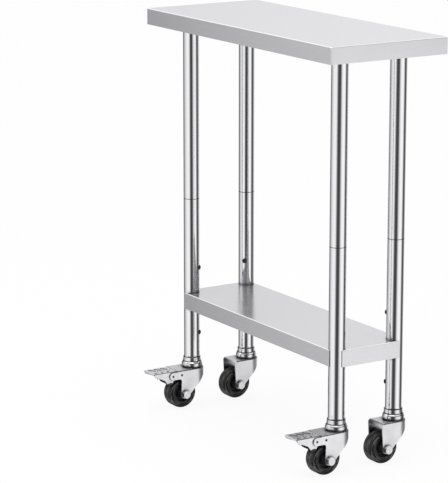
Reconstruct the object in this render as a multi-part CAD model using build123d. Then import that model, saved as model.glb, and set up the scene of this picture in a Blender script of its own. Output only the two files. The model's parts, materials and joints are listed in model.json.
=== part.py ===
from build123d import *
import math
import os

# Overall sizes in millimetres. The cart stands on z = 0 with its front towards -y.
TOP_LENGTH = 762.0
TOP_DEPTH = 305.0
TOP_HEIGHT = 960.0

# Clearances: past a cut face, between clamped pieces, and between pieces that only pass each other
PAST = 1.0
FIT_GAP = 0.05
CLEARANCE = 0.1

# Folded stainless sheet of the work top and the undershelf
SHEET = 1.2
RIM = 38.0
LIP = 14.0
HEM = 8.0
EDGE_BEND = 2.4
CORNER_BEND = 1.6

# Hat channels welded under the sheets
CHANNEL_HEIGHT = 18.0
CHANNEL_SHEET = 1.5
CHANNEL_FLANGE = 15.0
CHANNEL_BEND = 2.5
LEG_CHANNEL_WEB = 70.0
LEG_CHANNEL_LENGTH = 290.0
STIFFENER_WEB = 46.0
TOP_STIFFENER_LENGTH = 500.0
SHELF_STIFFENER_LENGTH = 540.0

# Round legs, each an upper and a lower tube pushed on to a collared sleeve
LEG_RADIUS = 19.0
LEG_WALL = 1.2
LEG_BORE = LEG_RADIUS - LEG_WALL
LEG_INSET = 75.0
LEG_X = TOP_LENGTH / 2 - LEG_INSET
LEG_Y = TOP_DEPTH / 2 - LEG_INSET
LEG_SEAM = 510.0
LEG_FOOT = 121.5
FLARE_HEIGHT = 5.0
FLARE_RADIUS = 20.2
SEAM_GAP = 1.2
SEAM_SUNK = 0.5
JOINER_LENGTH = 90.0
JOINER_WALL = 2.0
SLIP = 0.25

# Mount plates that hold the legs under the top
MOUNT_PLATE = 3.0
MOUNT_RADIUS = 33.0
MOUNT_TOP = TOP_HEIGHT - SHEET - CHANNEL_HEIGHT
LEG_TOP = MOUNT_TOP - MOUNT_PLATE
SPIGOT_LENGTH = 36.0
SPIGOT_WALL = 2.2
MOUNT_BOLT_RADIUS = 26.0
MOUNT_SCREW_LENGTH = 11.0
SET_SCREW_DROP = 8.0
SET_SCREW_RADIUS = 2.5
SET_SCREW_LENGTH = 6.0
SET_SCREW_KEY = 2.5
SET_SCREW_SOCKET = 2.0

# M6 fasteners
M6_RADIUS = 3.0
M6_HOLE = 3.3
M6_FLATS = 10.0
M6_HEAD = 4.0
HEX_TURNING = 0.48

# Undershelf on the middle one of three rivet nuts in each leg
SHELF_TOP = 280.0
SHELF_MARGIN = 20.5
SHELF_LENGTH = 2 * (LEG_X + SHELF_MARGIN)
SHELF_DEPTH = 2 * (LEG_Y + SHELF_MARGIN)
NOTCH_RADIUS = 19.6
SHELF_BOLT_Z = SHELF_TOP - RIM / 2
RIVET_PITCH = 80.0
RIVET_FLANGE = 1.5
RIVET_FLANGE_RADIUS = 5.5
RIVET_BODY_RADIUS = 4.4
RIVET_BULGE_RADIUS = 5.8
RIVET_BULGE_NEAR = 2.6
RIVET_BULGE_FAR = 4.8
RIVET_LENGTH = 13.0
PLUG_RADIUS = 4.2
PLUG_DOME = 2.0
PLUG_SHANK = 8.0
BRACKET_SHEET = 2.0
BRACKET_SEAT = LEG_RADIUS + RIVET_FLANGE + CLEARANCE + BRACKET_SHEET / 2
BRACKET_WING = 24.0
BRACKET_TAB = 16.0
BRACKET_BEND = 3.0
BRACKET_HEIGHT = 24.0
BRACKET_DROP = 1.0
SHELF_BOLT_REACH = 13.0

# Swivel head of a caster: leg socket, raceway cup, balls and kingpin
CUP_LOW = 100.5
CUP_TOP = 110.5
CUP_RADIUS = 25.2
CUP_CROWN = 22.3
CUP_WALL = 2.0
CUP_ROOF = 102.5
CUP_DOME = 7.0
SOCKET_NECK = 20.6
SOCKET_GROOVE = 1.2
SOCKET_WIDE = 21.8
SOCKET_NARROW = 20.9
SOCKET_SLIP = 0.4
SOCKET_PLUG = LEG_BORE - SOCKET_SLIP
SOCKET_TOP = 157.0
SOCKET_EDGE = 0.5
SOCKET_LEAD = 2.0
BALL_RADIUS = 2.5
BALL_CIRCLE = 18.0
BALL_Z = 101.1
BALL_COUNT = 12
RACE_GAP = 0.05
KINGPIN_RADIUS = 6.0
KINGPIN_HEAD_RADIUS = 9.5
KINGPIN_HEAD = 4.0
KINGPIN_TOP = 152.0
KINGPIN_GAP = 0.3
RUNNING_GAP = 0.05

# Pressed caster fork, its swivel axis on x = y = 0 and its wheel trailing towards -y
FORK_TOP = 96.5
FORK_SHEET = 2.6
FORK_HALF = 27.5
FORK_BEND = 3.0
FORK_LOW = 20.0
FORK_TRAIL = -48.5
APRON_BEND = 8.0
APRON_LOW = 87.0
EAR_RADIUS = 11.0
SLOPE_PAST = 5.0
RACE_RADIUS = 22.5
RACE_TOP = 99.9

# Wheel, axle bolt and nut
WHEEL_RADIUS = 36.5
AXLE_Y = -35.0
AXLE_Z = WHEEL_RADIUS
AXLE_RADIUS = 6.0
TYRE_HALF = 17.5
TYRE_SHOULDER = 7.0
TYRE_SEAT = 25.0
TYRE_BEAD = 3.0
RIM_HALF = 15.5
RIM_INNER = 21.5
WEB_HALF = 4.0
HUB_RADIUS = 12.5
HUB_GAP = 0.4
WEB_ROOT = 2.5
WHEEL_GAP = 0.06
BUSH_RADIUS = 8.0
BUSH_HALF = FORK_HALF - FORK_SHEET - CLEARANCE
HUB_HALF = BUSH_HALF - HUB_GAP
AXLE_FLATS = 18.0
BOLT_HEAD = 9.0
NUT_HEIGHT = 10.0
BOLT_END = 1.2

# Brake of a front caster: the fork's arms carry a foot pedal on a cross pin
BRAKE_TRAVEL = 18.0
PIVOT_Y = -68.5
PIVOT_Z = 84.5
PIVOT_RADIUS = 2.5
ARM_RADIUS = 9.0
PLATE_END = -57.4
BLADE_Y = -44.5
WINDOW_FILLET = 6.0
PEDAL_REACH = 121.5
PEDAL_START = -58.6
PEDAL_CORNER = 3.0
PEDAL_BEND = 2.2
PEDAL_PLAY = 0.4
PEDAL_HALF = FORK_HALF - FORK_SHEET - PEDAL_PLAY
FLANGE_SHEET = 2.0
FLANGE_TOE = -118.5
FLANGE_SKIRT = [(-117, 88.0), (-101, 81.8), (-89.8, 76.6), (-82.7, 67.5)]
FLANGE_ARCH = [(-75.8, 69.6), (-69.0, 68.2)]
FLANGE_BACK = [(-66.5, 73.0), (-61.5, 75.5), (-59.8, 82.5)]
SHOE_EAR = [(-67.6, 66.7), (-75.1, 62.8), (-80, 68.5), (-77, 78.5), (-67, 78.5)]
CHEVRON_COUNT = 3
CHEVRON_PITCH = 16.5
CHEVRON_FIRST = -112.0
CHEVRON_HALF = 17.5
CHEVRON_POINT = 13.5
CHEVRON_WIDTH = 3.6
CHEVRON_RISE = 1.4
CHEVRON_SINK = 0.2
PAD_GAP = 0.5
PAD_THICKNESS = 4.0
PAD_HALF = 14.0
PAD_START = 131.0
PAD_SWEEP = 8.0
SHOE_BACK = 2.0
SHOE_SWEEP = 12.0
SPRING_PIN_Y = -44.5
SPRING_PIN_Z = 85.0
SPRING_PIN_RADIUS = 2.2
PIVOT_PROUD = 0.4
ANCHOR_SUNK = 1.4
SLEEVE_RADIUS = 4.5
SPRING_SHEET = 0.8
SPRING_HALF = 6.0
SPRING_BEND = 3.0
SPRING_EYE = SPRING_PIN_RADIUS + CLEARANCE + SPRING_SHEET / 2
EYE_START = -210
EYE_SWEEP = 300
LEAF_GAP = 0.3
LEAF_KNEE = 14.0
LEAF_SEAT = 7.0
LEAF_END = 4.0
LEAF_TIP = 6.5
LEAF_LIFT = 1.0
SPRING_REST = PIVOT_Z + SLEEVE_RADIUS + LEAF_GAP + SPRING_SHEET / 2

CORNERS = {
    "front_left": (-1, -1),
    "front_right": (1, -1),
    "back_left": (-1, 1),
    "back_right": (1, 1),
}
BRAKED = ("front_left", "front_right")

# The pedals reach past the front edge, so the cart is moved back to centre its whole envelope
CENTRE_Y = (LEG_Y + PEDAL_REACH - TOP_DEPTH / 2) / 2


def tube(outer, inner, low, high):
    """An upright ring from one height to another."""
    return extrude(Pos(0, 0, low) * (Circle(outer) - Circle(inner)), high - low)


def rod(radius, low, high):
    """An upright round bar from one height to another."""
    return extrude(Pos(0, 0, low) * Circle(radius), high - low)


def turned(outline):
    """A solid of revolution about z from an outline of radius and height."""
    return revolve(Plane.XZ * make_face(outline), Axis.Z)


def dome(radius, height):
    """A spherical cap on z = 0."""
    cap = TangentArc((0, height), (radius, 0), tangent=(1, 0))
    return turned([cap, Line(cap @ 1, (0, 0)), Line((0, 0), cap @ 0)])


def side_plate(outline, inner, outer):
    """A plate parallel to the y-z plane, between two distances from it on the +x side."""
    return extrude(Pos(inner, 0, 0) * (Plane.YZ * outline), outer - inner)


def hex_head(flats, low, high):
    """A hexagon with its upper corners turned off."""
    blank = extrude(Pos(0, 0, low) * RegularPolygon(flats / 2, 6, major_radius=False), high - low)
    corner_radius = flats / math.sqrt(3)
    turning = rod(corner_radius, low, high)
    top_edge = turning.edges().sort_by(Axis.Z)[-1]
    return blank & chamfer(top_edge, corner_radius - HEX_TURNING * flats)


def leg_place(corner):
    """The axis of a leg."""
    side, end = CORNERS[corner]
    return Pos(side * LEG_X, end * LEG_Y, 0)


def facing_inward(corner):
    """Turns a piece made along +x to point from a leg to the middle of the cart."""
    side, end = CORNERS[corner]
    return Rot(0, 0, math.degrees(math.atan2(-end, -side)))


def folded_tray(length, depth, top):
    """A sheet folded down into four rims, with lips turned in below and hemmed upward."""
    bottom = top - RIM
    blank = Pos(0, 0, top - RIM / 2) * Box(length, depth, RIM)
    blank = fillet(blank.edges().filter_by(Axis.Z), CORNER_BEND)
    blank = fillet(blank.edges().group_by(Axis.Z)[-1], EDGE_BEND)
    hollow = Pos(0, 0, top - RIM / 2) * Box(length - 2 * SHEET, depth - 2 * SHEET, RIM - 2 * SHEET)
    mouth = Pos(0, 0, bottom) * Box(length - 2 * LIP, depth - 2 * LIP, 4 * SHEET)
    hem_outer = Rectangle(length - 2 * LIP, depth - 2 * LIP)
    hem_inner = Rectangle(length - 2 * LIP - 2 * SHEET, depth - 2 * LIP - 2 * SHEET)
    hem = extrude(Pos(0, 0, bottom) * (hem_outer - hem_inner), HEM)
    return blank - hollow - mouth + hem


def hat_channel(length, web):
    """A hat section along x, crown downward, with the upper faces of its flanges on z = 0."""
    half = web / 2
    reach = half + CHANNEL_FLANGE
    flange_z = -CHANNEL_SHEET / 2
    crown_z = CHANNEL_SHEET / 2 - CHANNEL_HEIGHT
    bends = [(-reach, flange_z), (-half, flange_z), (-half, crown_z)]
    bends += [(half, crown_z), (half, flange_z), (reach, flange_z)]
    section = trace(FilletPolyline(*bends, radius=CHANNEL_BEND), CHANNEL_SHEET)
    return extrude(Plane.YZ * section, length / 2, both=True)


def mount_bolt_places():
    """The four screw axes round a leg mount."""
    return PolarLocations(MOUNT_BOLT_RADIUS, 4, start_angle=45)


def leg_channel(side):
    """The cross channel over the two legs of one end, drilled for their mounts."""
    channel = Rot(0, 0, 90) * hat_channel(LEG_CHANNEL_LENGTH, LEG_CHANNEL_WEB)
    channel = Pos(side * LEG_X, 0, TOP_HEIGHT - SHEET) * channel
    drill = rod(M6_HOLE, MOUNT_TOP - PAST, MOUNT_TOP + CHANNEL_SHEET + PAST)
    for end in (-1, 1):
        for place in mount_bolt_places():
            channel -= Pos(side * LEG_X, end * LEG_Y, 0) * place * drill
    return channel


def leg_mount():
    """A round plate with a spigot that the leg slips over."""
    spigot = LEG_BORE - SLIP
    plate = tube(MOUNT_RADIUS, spigot - SPIGOT_WALL, LEG_TOP, MOUNT_TOP)
    mount = plate + tube(spigot, spigot - SPIGOT_WALL, LEG_TOP - SPIGOT_LENGTH, LEG_TOP)
    for place in mount_bolt_places():
        mount -= place * rod(M6_HOLE, LEG_TOP - PAST, MOUNT_TOP + PAST)
    return mount


def mount_screw():
    """A hexagon screw driven up through the mount plate into the channel."""
    head = Rot(180, 0, 0) * hex_head(M6_FLATS, 0, M6_HEAD)
    return Pos(0, 0, LEG_TOP) * (head + rod(M6_RADIUS, 0, MOUNT_SCREW_LENGTH))


def radial_hole(radius, height):
    """A drill along +x through one wall of a leg."""
    drill = Rot(0, 90, 0) * rod(radius, 0, LEG_RADIUS + PAST)
    return Pos(0, 0, height) * drill


def set_screw():
    """A grub screw through the leg's wall into the spigot."""
    screw = Rot(0, 90, 0) * rod(SET_SCREW_RADIUS, LEG_RADIUS - SET_SCREW_LENGTH, LEG_RADIUS)
    socket = Rot(0, 90, 0) * hex_head(SET_SCREW_KEY, LEG_RADIUS - SET_SCREW_SOCKET, LEG_RADIUS + PAST)
    return Pos(0, 0, LEG_TOP - SET_SCREW_DROP) * (screw - socket)


def upper_leg():
    """The tube from the seam to the mount plate."""
    leg = tube(LEG_RADIUS, LEG_BORE, LEG_SEAM + SEAM_GAP / 2, LEG_TOP)
    return leg - radial_hole(SET_SCREW_RADIUS, LEG_TOP - SET_SCREW_DROP)


def rivet_heights():
    """The three heights at which the shelf can be bolted."""
    return [SHELF_BOLT_Z + step * RIVET_PITCH for step in (-1, 0, 1)]


def lower_leg():
    """The tube from its flared foot to the seam, drilled for three rivet nuts."""
    flare_top = LEG_FOOT + FLARE_HEIGHT
    seam = LEG_SEAM - SEAM_GAP / 2
    outer = TangentArc((LEG_RADIUS, flare_top), (FLARE_RADIUS, LEG_FOOT), tangent=(0, -1))
    inner = TangentArc((LEG_BORE, flare_top), (FLARE_RADIUS - LEG_WALL, LEG_FOOT), tangent=(0, -1))
    up = Line(inner @ 0, (LEG_BORE, seam))
    across = Line(up @ 1, (LEG_RADIUS, seam))
    leg = turned([outer, Line(outer @ 1, inner @ 1), inner, up, across, Line(across @ 1, outer @ 0)])
    for height in rivet_heights():
        leg -= radial_hole(RIVET_BODY_RADIUS + CLEARANCE, height)
    return leg


def leg_joiner():
    """The sleeve inside both tubes, with a thin collar that shows between them."""
    radius = LEG_BORE - SLIP
    bore = radius - JOINER_WALL
    sleeve = tube(radius, bore, LEG_SEAM - JOINER_LENGTH / 2, LEG_SEAM + JOINER_LENGTH / 2)
    return sleeve + tube(LEG_RADIUS - SEAM_SUNK, bore, LEG_SEAM - SEAM_GAP / 2, LEG_SEAM + SEAM_GAP / 2)


def rivet_nut():
    """A flanged nut set in the leg's wall and bulged behind it, made upright with the wall at z = 0."""
    bore = M6_RADIUS + FIT_GAP
    nut = tube(RIVET_FLANGE_RADIUS, bore, 0, RIVET_FLANGE)
    nut += tube(RIVET_BODY_RADIUS, bore, -RIVET_LENGTH, 0)
    return nut + tube(RIVET_BULGE_RADIUS, bore, -RIVET_BULGE_FAR, -RIVET_BULGE_NEAR)


def hole_plug():
    """A domed plug for a rivet nut that holds no bolt, made like the rivet nut."""
    return Pos(0, 0, RIVET_FLANGE) * (dome(PLUG_RADIUS, PLUG_DOME) + rod(M6_RADIUS, -PLUG_SHANK, 0))


def on_leg_wall(corner, height):
    """Takes a piece made upright at z = 0 to a leg's inner wall at a height."""
    wall = Pos(LEG_RADIUS, 0, height) * Rot(0, 90, 0)
    return leg_place(corner) * facing_inward(corner) * wall


def undershelf():
    """The shelf tray, its corners cut away round the legs."""
    shelf = folded_tray(SHELF_LENGTH, SHELF_DEPTH, SHELF_TOP)
    for corner, (side, end) in CORNERS.items():
        cut = rod(NOTCH_RADIUS, SHELF_TOP - RIM - PAST, SHELF_TOP + PAST)
        quarter = Pos(side * RIM / 2, end * RIM / 2, SHELF_TOP - RIM / 2) * Box(RIM, RIM, RIM + 2 * PAST)
        shelf -= leg_place(corner) * (cut + quarter)
    return shelf


def shelf_bracket():
    """A saddle round a leg, flat at the bolt, with a tab on each rim, made for the front left leg."""
    rim_line = SHEET + BRACKET_SHEET / 2 - SHELF_MARGIN
    seat_end = BRACKET_SEAT * math.sqrt(2) - BRACKET_WING
    bends = [(BRACKET_WING + BRACKET_TAB, rim_line), (BRACKET_WING, rim_line), (BRACKET_WING, seat_end)]
    bends += [(y, x) for x, y in reversed(bends)]
    section = trace(FilletPolyline(*bends, radius=BRACKET_BEND), BRACKET_SHEET)
    base = SHELF_TOP - SHEET - BRACKET_HEIGHT - BRACKET_DROP
    saddle = extrude(Pos(0, 0, base) * section, BRACKET_HEIGHT)
    drill = Rot(0, 90, 0) * rod(M6_HOLE, LEG_RADIUS, BRACKET_SEAT + BRACKET_SHEET)
    return saddle - Pos(0, 0, SHELF_BOLT_Z) * Rot(0, 0, 45) * drill


def shelf_bolt():
    """A hexagon bolt through the saddle into the rivet nut, made like the rivet nut."""
    seat = BRACKET_SEAT + BRACKET_SHEET / 2 - LEG_RADIUS
    return hex_head(M6_FLATS, seat, seat + M6_HEAD) + rod(M6_RADIUS, seat - SHELF_BOLT_REACH, seat)


def caster_socket():
    """A plug in the leg's foot with a tapered collar and a grooved neck below it, bored for the kingpin."""
    bore = KINGPIN_RADIUS + RUNNING_GAP
    corners = [
        (bore, CUP_TOP),
        (SOCKET_NECK, CUP_TOP),
        (SOCKET_WIDE, CUP_TOP + SOCKET_GROOVE),
        (SOCKET_NARROW, LEG_FOOT - SOCKET_EDGE),
        (SOCKET_NARROW - SOCKET_EDGE, LEG_FOOT),
        (SOCKET_PLUG, LEG_FOOT),
        (SOCKET_PLUG, SOCKET_TOP - SOCKET_LEAD),
        (SOCKET_PLUG - SOCKET_LEAD, SOCKET_TOP),
        (bore, SOCKET_TOP),
    ]
    return turned(Polyline(*corners, close=True))


def ball_groove():
    """The running groove for the balls."""
    return Pos(0, 0, BALL_Z) * Torus(BALL_CIRCLE, BALL_RADIUS + RACE_GAP)


def raceway_cup():
    """The domed upper race with a skirt over the balls."""
    bore = KINGPIN_RADIUS + CLEARANCE
    skirt = CUP_RADIUS - CUP_WALL
    shoulder = CUP_TOP - CUP_DOME
    crown = Line((bore, CUP_TOP), (CUP_CROWN, CUP_TOP))
    bend = TangentArc(crown @ 1, (CUP_RADIUS, shoulder), tangent=(1, -1))
    rest = Polyline(
        (CUP_RADIUS, shoulder), (CUP_RADIUS, CUP_LOW), (skirt, CUP_LOW),
        (skirt, CUP_ROOF), (bore, CUP_ROOF), (bore, CUP_TOP),
    )
    return turned([crown, bend, rest]) - ball_groove()


def swivel_balls():
    """One ring of balls."""
    ball = Pos(0, 0, BALL_Z) * Sphere(BALL_RADIUS)
    return [place * ball for place in PolarLocations(BALL_CIRCLE, BALL_COUNT)]


def kingpin():
    """A headed pin, the fork turning on it, up into the socket."""
    head_top = FORK_TOP - FORK_SHEET - KINGPIN_GAP
    head = Pos(0, 0, head_top) * Rot(180, 0, 0) * dome(KINGPIN_HEAD_RADIUS, KINGPIN_HEAD)
    return head + rod(KINGPIN_RADIUS, head_top, KINGPIN_TOP)


def fork_plan(inset, trail):
    """The fork seen from above: parallel cheeks running into a round head."""
    half = FORK_HALF - inset
    head = ThreePointArc((half, 0), (0, half), (-half, 0))
    cheeks = Polyline(head @ 1, (-half, trail), (half, trail), head @ 0)
    return make_face([head, cheeks])


def ear_and_slope():
    """The lower edge of a cheek: the round ear at the axle and the slope up to the head."""
    foot = EAR_RADIUS * math.sqrt(0.5)
    slope_start = (AXLE_Y + foot, AXLE_Z - foot)
    climb = FORK_HALF + SLOPE_PAST - slope_start[0]
    ear_start = (AXLE_Y - EAR_RADIUS, AXLE_Z)
    ear = ThreePointArc(ear_start, (AXLE_Y, AXLE_Z - EAR_RADIUS), slope_start)
    slope = Line(ear @ 1, (slope_start[0] + climb, slope_start[1] + climb))
    front = Line(slope @ 1, (slope_start[0] + climb, RACE_TOP))
    return [ear, slope, front]


def plain_cheek():
    """Side outline of a fork without a brake, its plate bent down behind."""
    lower = ear_and_slope()
    bend_start = FORK_TRAIL + APRON_BEND
    top = Polyline(lower[-1] @ 1, (bend_start, RACE_TOP), (bend_start, FORK_TOP))
    apron = TangentArc(top @ 1, (FORK_TRAIL, FORK_TOP - APRON_BEND), tangent=(-1, 0))
    return make_face([*lower, top, apron, Line(apron @ 1, lower[0] @ 0)])


def braked_cheek():
    """Side outline of a fork whose arms reach back over the wheel to the pedal pin."""
    lower = ear_and_slope()
    arm_low = PIVOT_Z - ARM_RADIUS
    arm_top = PIVOT_Z + ARM_RADIUS
    top = Polyline(lower[-1] @ 1, (PLATE_END, RACE_TOP), (PLATE_END, arm_top), (PIVOT_Y, arm_top))
    arm_end = ThreePointArc(top @ 1, (PIVOT_Y - ARM_RADIUS, PIVOT_Z), (PIVOT_Y, arm_low))
    window = Polyline(arm_end @ 1, (BLADE_Y, arm_low), lower[0] @ 0)
    outline = make_face([*lower, top, arm_end, window])
    corner = outline.vertices().sort_by_distance((BLADE_Y, arm_low, 0))[0]
    return fillet(corner, WINDOW_FILLET)


def fork(braked):
    """A pressed fork: folded cheeks, round head, raised ball race and drilled ears."""
    trail = PIVOT_Y - 2 * ARM_RADIUS if braked else FORK_TRAIL
    shell = extrude(Pos(0, 0, FORK_LOW) * fork_plan(0, trail), FORK_TOP - FORK_LOW)
    shell = fillet(shell.edges().group_by(Axis.Z)[-1], FORK_BEND)
    open_plan = fork_plan(FORK_SHEET, trail - FORK_SHEET)
    roof = FORK_TOP - FORK_SHEET
    if braked:
        shell -= extrude(open_plan, roof)
        cheek = braked_cheek()
    else:
        shell -= extrude(open_plan, APRON_LOW)
        hollow = extrude(fork_plan(FORK_SHEET, trail + FORK_SHEET), roof)
        apron_edge = hollow.edges().filter_by(Axis.X).sort_by(Axis.Z)[-1]
        shell -= fillet(apron_edge, APRON_BEND - FORK_SHEET)
        cheek = plain_cheek()
    shell &= extrude(Plane.YZ * cheek, FORK_HALF + PAST, both=True)
    shell += rod(RACE_RADIUS, roof, RACE_TOP)
    shell -= ball_groove() + rod(KINGPIN_RADIUS + RUNNING_GAP, roof - PAST, RACE_TOP + PAST)
    shell -= cross_bar(AXLE_RADIUS + CLEARANCE, FORK_HALF + PAST, AXLE_Y, AXLE_Z)
    if braked:
        shell -= cross_bar(PIVOT_RADIUS, FORK_HALF + PAST, PIVOT_Y, PIVOT_Z)
        shell -= cross_bar(SPRING_PIN_RADIUS, FORK_HALF + PAST, SPRING_PIN_Y, SPRING_PIN_Z)
    return shell


def cross_bar(radius, half, y, z):
    """A round bar along x."""
    return Pos(0, y, z) * Rot(0, 90, 0) * rod(radius, -half, half)


def about_axle(piece):
    """Takes a piece turned about z to the wheel's axle."""
    return Pos(0, AXLE_Y, AXLE_Z) * Rot(0, 90, 0) * piece


def wheel_core():
    """The moulded wheel centre: hub, recessed disc and rim."""
    bore = BUSH_RADIUS + WHEEL_GAP
    hub = Pos((bore + HUB_RADIUS) / 2, 0) * Rectangle(HUB_RADIUS - bore, 2 * HUB_HALF)
    disc = Pos((HUB_RADIUS + RIM_INNER) / 2, 0) * Rectangle(RIM_INNER - HUB_RADIUS + 2 * PAST, 2 * WEB_HALF)
    rim = Pos((RIM_INNER + TYRE_SEAT) / 2, 0) * Rectangle(TYRE_SEAT - RIM_INNER, 2 * RIM_HALF)
    section = hub + disc + rim
    roots = [v for v in section.vertices() if abs(abs(v.Y) - WEB_HALF) < FIT_GAP]
    section = chamfer(roots, WEB_ROOT)
    return about_axle(revolve(Plane.XZ * section, Axis.Z))


def tyre():
    """The tyre: a flat tread with round shoulders."""
    side_top = WHEEL_RADIUS - TYRE_SHOULDER
    tread_half = TYRE_HALF - TYRE_SHOULDER
    seat = Line((TYRE_SEAT, -RIM_HALF), (TYRE_SEAT, RIM_HALF))
    upper = Polyline(seat @ 1, (TYRE_SEAT + TYRE_BEAD, TYRE_HALF), (side_top, TYRE_HALF))
    upper_shoulder = TangentArc(upper @ 1, (WHEEL_RADIUS, tread_half), tangent=(1, 0))
    tread = Line(upper_shoulder @ 1, (WHEEL_RADIUS, -tread_half))
    lower_shoulder = TangentArc(tread @ 1, (side_top, -TYRE_HALF), tangent=(0, -1))
    lower = Polyline(lower_shoulder @ 1, (TYRE_SEAT + TYRE_BEAD, -TYRE_HALF), seat @ 0)
    return about_axle(turned([seat, upper, upper_shoulder, tread, lower_shoulder, lower]))


def axle_bush():
    """The sleeve that the cheeks clamp and the wheel turns on."""
    return about_axle(tube(BUSH_RADIUS, AXLE_RADIUS + FIT_GAP, -BUSH_HALF, BUSH_HALF))


def axle_bolt():
    """The axle, with its tall head against the right cheek."""
    head = hex_head(AXLE_FLATS, FORK_HALF, FORK_HALF + BOLT_HEAD)
    return about_axle(head + rod(AXLE_RADIUS, -FORK_HALF - NUT_HEIGHT - BOLT_END, FORK_HALF))


def axle_nut():
    """The nut on the left cheek."""
    nut = hex_head(AXLE_FLATS, FORK_HALF, FORK_HALF + NUT_HEIGHT)
    bore = rod(AXLE_RADIUS + FIT_GAP, FORK_HALF - PAST, FORK_HALF + NUT_HEIGHT + PAST)
    return about_axle(Rot(180, 0, 0) * (nut - bore))


def released(piece):
    """Turns a piece made with the brake on back to the pedal's raised position."""
    return Pos(0, PIVOT_Y, PIVOT_Z) * Rot(-BRAKE_TRAVEL, 0, 0) * Pos(0, -PIVOT_Y, -PIVOT_Z) * piece


def tread_sector(inner, outer, sweep, half):
    """A curved block over the tread, between two radii from the axle."""
    centre = (AXLE_Y, AXLE_Z)
    low = CenterArc(centre, inner, PAD_START, sweep)
    high = CenterArc(centre, outer, PAD_START, sweep)
    outline = make_face([low, high, Line(low @ 0, high @ 0), Line(low @ 1, high @ 1)])
    return extrude(Plane.YZ * outline, half, both=True)


def brake_pad():
    """The moulded shoe: a block for the tread on a back plate with ears between the pedal's flanges."""
    inner = WHEEL_RADIUS + PAD_GAP
    outer = inner + PAD_THICKNESS
    half = PEDAL_HALF - FLANGE_SHEET
    block = tread_sector(inner, outer, PAD_SWEEP, PAD_HALF)
    back = tread_sector(outer, outer + SHOE_BACK, SHOE_SWEEP, half)
    ear = side_plate(make_face(Polyline(*SHOE_EAR, close=True)), half - SHOE_BACK, half)
    return released(block + back) + ear + mirror(ear, Plane.YZ)


def pedal_flange():
    """Side outline of the pedal: a tapered skirt with a rounded tooth behind the wheel."""
    underside = FORK_TOP - FORK_SHEET / 2
    toe = (FLANGE_TOE, underside)
    skirt = Polyline(toe, *FLANGE_SKIRT)
    arch = ThreePointArc(skirt @ 1, *FLANGE_ARCH)
    heel = (FLANGE_BACK[-1][0], underside)
    back = Polyline(arch @ 1, *FLANGE_BACK, heel, toe)
    return make_face([skirt, arch, back])


def chevrons():
    """The raised arrows of the foot plate."""
    marks = []
    for index in range(CHEVRON_COUNT):
        tail = CHEVRON_FIRST + index * CHEVRON_PITCH
        line = Polyline((-CHEVRON_HALF, tail), (0, tail + CHEVRON_POINT), (CHEVRON_HALF, tail))
        outline = Pos(0, 0, FORK_TOP - CHEVRON_SINK) * trace(line, CHEVRON_WIDTH)
        marks.append(extrude(outline, CHEVRON_RISE + CHEVRON_SINK))
    return marks


def brake_pedal():
    """The foot pedal: embossed plate with rounded edges, two flanges and the sleeve on the pin."""
    length = PEDAL_REACH + PEDAL_START
    plan = Pos(0, PEDAL_START - length / 2) * Rectangle(2 * PEDAL_HALF, length)
    toe = plan.vertices().group_by(Axis.Y)[0]
    plate = extrude(Pos(0, 0, FORK_TOP - FORK_SHEET) * fillet(toe, PEDAL_CORNER), FORK_SHEET)
    upper_edges = plate.edges().group_by(Axis.Z)[-1].sort_by(Axis.Y)[:-1]
    plate = fillet(upper_edges, PEDAL_BEND) + chevrons()
    flange = side_plate(pedal_flange(), PEDAL_HALF - FLANGE_SHEET, PEDAL_HALF)
    sleeve = cross_bar(SLEEVE_RADIUS, PEDAL_HALF - FLANGE_SHEET, PIVOT_Y, PIVOT_Z)
    pedal = plate + flange + mirror(flange, Plane.YZ) + sleeve
    return pedal - cross_bar(PIVOT_RADIUS + RUNNING_GAP, FORK_HALF, PIVOT_Y, PIVOT_Z)


def pedal_pins():
    """The pedal's pivot pin and the pin that carries the leaf spring."""
    pivot = cross_bar(PIVOT_RADIUS, FORK_HALF + PIVOT_PROUD, PIVOT_Y, PIVOT_Z)
    anchor = cross_bar(SPRING_PIN_RADIUS, FORK_HALF - ANCHOR_SUNK, SPRING_PIN_Y, SPRING_PIN_Z)
    return [pivot, anchor]


def brake_spring():
    """The leaf that holds the pedal by rubbing on its sleeve, rolled round its pin at one end."""
    eye = CenterArc((SPRING_PIN_Y, SPRING_PIN_Z), SPRING_EYE, EYE_START, EYE_SWEEP)
    leave = SPRING_PIN_Z + SPRING_EYE
    bends = [(SPRING_PIN_Y, leave), (PIVOT_Y + LEAF_KNEE, leave), (PIVOT_Y + LEAF_SEAT, SPRING_REST)]
    bends += [(PIVOT_Y - LEAF_END, SPRING_REST), (PIVOT_Y - LEAF_TIP, SPRING_REST + LEAF_LIFT)]
    section = trace(eye + FilletPolyline(*bends, radius=SPRING_BEND), SPRING_SHEET)
    return extrude(Plane.YZ * section, SPRING_HALF, both=True)


def save(name, *pieces):
    """Writes one node, its pieces kept as separate solids."""
    solids = [solid for piece in pieces for solid in piece.solids()]
    moved = [Pos(0, CENTRE_Y, 0) * solid for solid in solids]
    shape = moved[0] if len(moved) == 1 else Compound(moved)
    export_step(shape, f"parts/{name}.step")


def at_each_leg(piece):
    """One copy of a piece on each leg's axis."""
    return [leg_place(corner) * piece for corner in CORNERS]


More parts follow.
